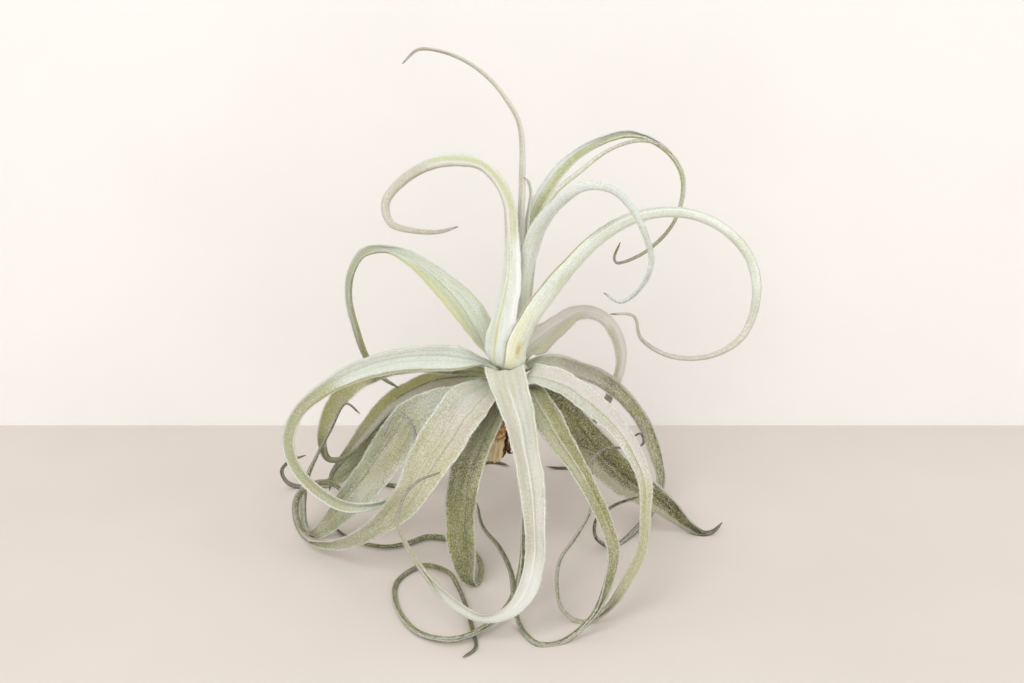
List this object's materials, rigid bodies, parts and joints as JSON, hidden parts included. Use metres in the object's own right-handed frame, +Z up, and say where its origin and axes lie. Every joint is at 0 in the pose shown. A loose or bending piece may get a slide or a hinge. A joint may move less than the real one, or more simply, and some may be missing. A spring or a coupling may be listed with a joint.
{
  "type": "air plant",
  "caption": "Curly-leaved air plant: a rosette of frosted, channelled leaves that arch, curl and stand on their own recurved blades.",
  "frame": {"origin": "middle of the plant's box at ground level", "axes": "+Z up, +Y to the back, the front leaf reaching towards -Y"},
  "size_m": [0.1834, 0.1604, 0.1886],
  "materials": {
    "stem": "rough woody core, pale green above and brown at the cut foot",
    "leaf_top_whip": "soft matte leaf under a frost of fine silvery scales",
    "leaf_young_heart": "soft matte leaf under a frost of fine silvery scales",
    "leaf_top_left_curl": "soft matte leaf under a frost of fine silvery scales",
    "leaf_high_right_arch": "soft matte leaf under a frost of fine silvery scales",
    "leaf_high_right_inner": "soft matte leaf under a frost of fine silvery scales",
    "leaf_mid_right_arch": "soft matte leaf under a frost of fine silvery scales",
    "leaf_great_right_loop": "soft matte leaf under a frost of fine silvery scales",
    "leaf_upper_left_arch": "soft matte leaf under a frost of fine silvery scales",
    "leaf_rear_right_arch": "soft matte leaf under a frost of fine silvery scales",
    "leaf_front_long": "soft matte leaf under a frost of fine silvery scales",
    "leaf_left_great_curl": "soft matte leaf under a frost of fine silvery scales",
    "leaf_right_front_drop": "soft matte leaf under a frost of fine silvery scales",
    "leaf_right_rear_drop": "soft matte leaf under a frost of fine silvery scales",
    "leaf_front_left_broad": "soft matte leaf under a frost of fine silvery scales",
    "leaf_front_right_floor": "soft matte leaf under a frost of fine silvery scales",
    "leaf_left_fold": "soft matte leaf under a frost of fine silvery scales",
    "leaf_left_rear_bend": "soft matte leaf under a frost of fine silvery scales",
    "leaf_left_rear_olive": "soft matte leaf under a frost of fine silvery scales",
    "leaf_front_down": "soft matte leaf under a frost of fine silvery scales",
    "leaf_right_floor_broad": "soft matte leaf under a frost of fine silvery scales",
    "leaf_left_floor_tail": "soft matte leaf under a frost of fine silvery scales",
    "leaf_front_floor_loop": "soft matte leaf under a frost of fine silvery scales",
    "leaf_back_right": "soft matte leaf under a frost of fine silvery scales",
    "leaf_back_left": "soft matte leaf under a frost of fine silvery scales",
    "leaf_back_middle": "soft matte leaf under a frost of fine silvery scales",
    "leaf_back_high": "soft matte leaf under a frost of fine silvery scales",
    "dried_sheath_left": "dry, papery and slightly ragged",
    "dried_sheath_right": "dry, papery and slightly ragged",
    "dried_sheath_back": "dry, papery and slightly ragged"
  },
  "bodies": {
    "root": {"stem": "stem", "leaf_top_whip": "leaf_top_whip", "leaf_young_heart": "leaf_young_heart", "leaf_top_left_curl": "leaf_top_left_curl", "leaf_high_right_arch": "leaf_high_right_arch", "leaf_high_right_inner": "leaf_high_right_inner", "leaf_mid_right_arch": "leaf_mid_right_arch", "leaf_great_right_loop": "leaf_great_right_loop", "leaf_upper_left_arch": "leaf_upper_left_arch", "leaf_rear_right_arch": "leaf_rear_right_arch", "leaf_front_long": "leaf_front_long", "leaf_left_great_curl": "leaf_left_great_curl", "leaf_right_front_drop": "leaf_right_front_drop", "leaf_right_rear_drop": "leaf_right_rear_drop", "leaf_front_left_broad": "leaf_front_left_broad", "leaf_front_right_floor": "leaf_front_right_floor", "leaf_left_fold": "leaf_left_fold", "leaf_left_rear_bend": "leaf_left_rear_bend", "leaf_left_rear_olive": "leaf_left_rear_olive", "leaf_front_down": "leaf_front_down", "leaf_right_floor_broad": "leaf_right_floor_broad", "leaf_left_floor_tail": "leaf_left_floor_tail", "leaf_front_floor_loop": "leaf_front_floor_loop", "leaf_back_right": "leaf_back_right", "leaf_back_left": "leaf_back_left", "leaf_back_middle": "leaf_back_middle", "leaf_back_high": "leaf_back_high", "dried_sheath_left": "dried_sheath_left", "dried_sheath_right": "dried_sheath_right", "dried_sheath_back": "dried_sheath_back"}
  },
  "joints": []
}
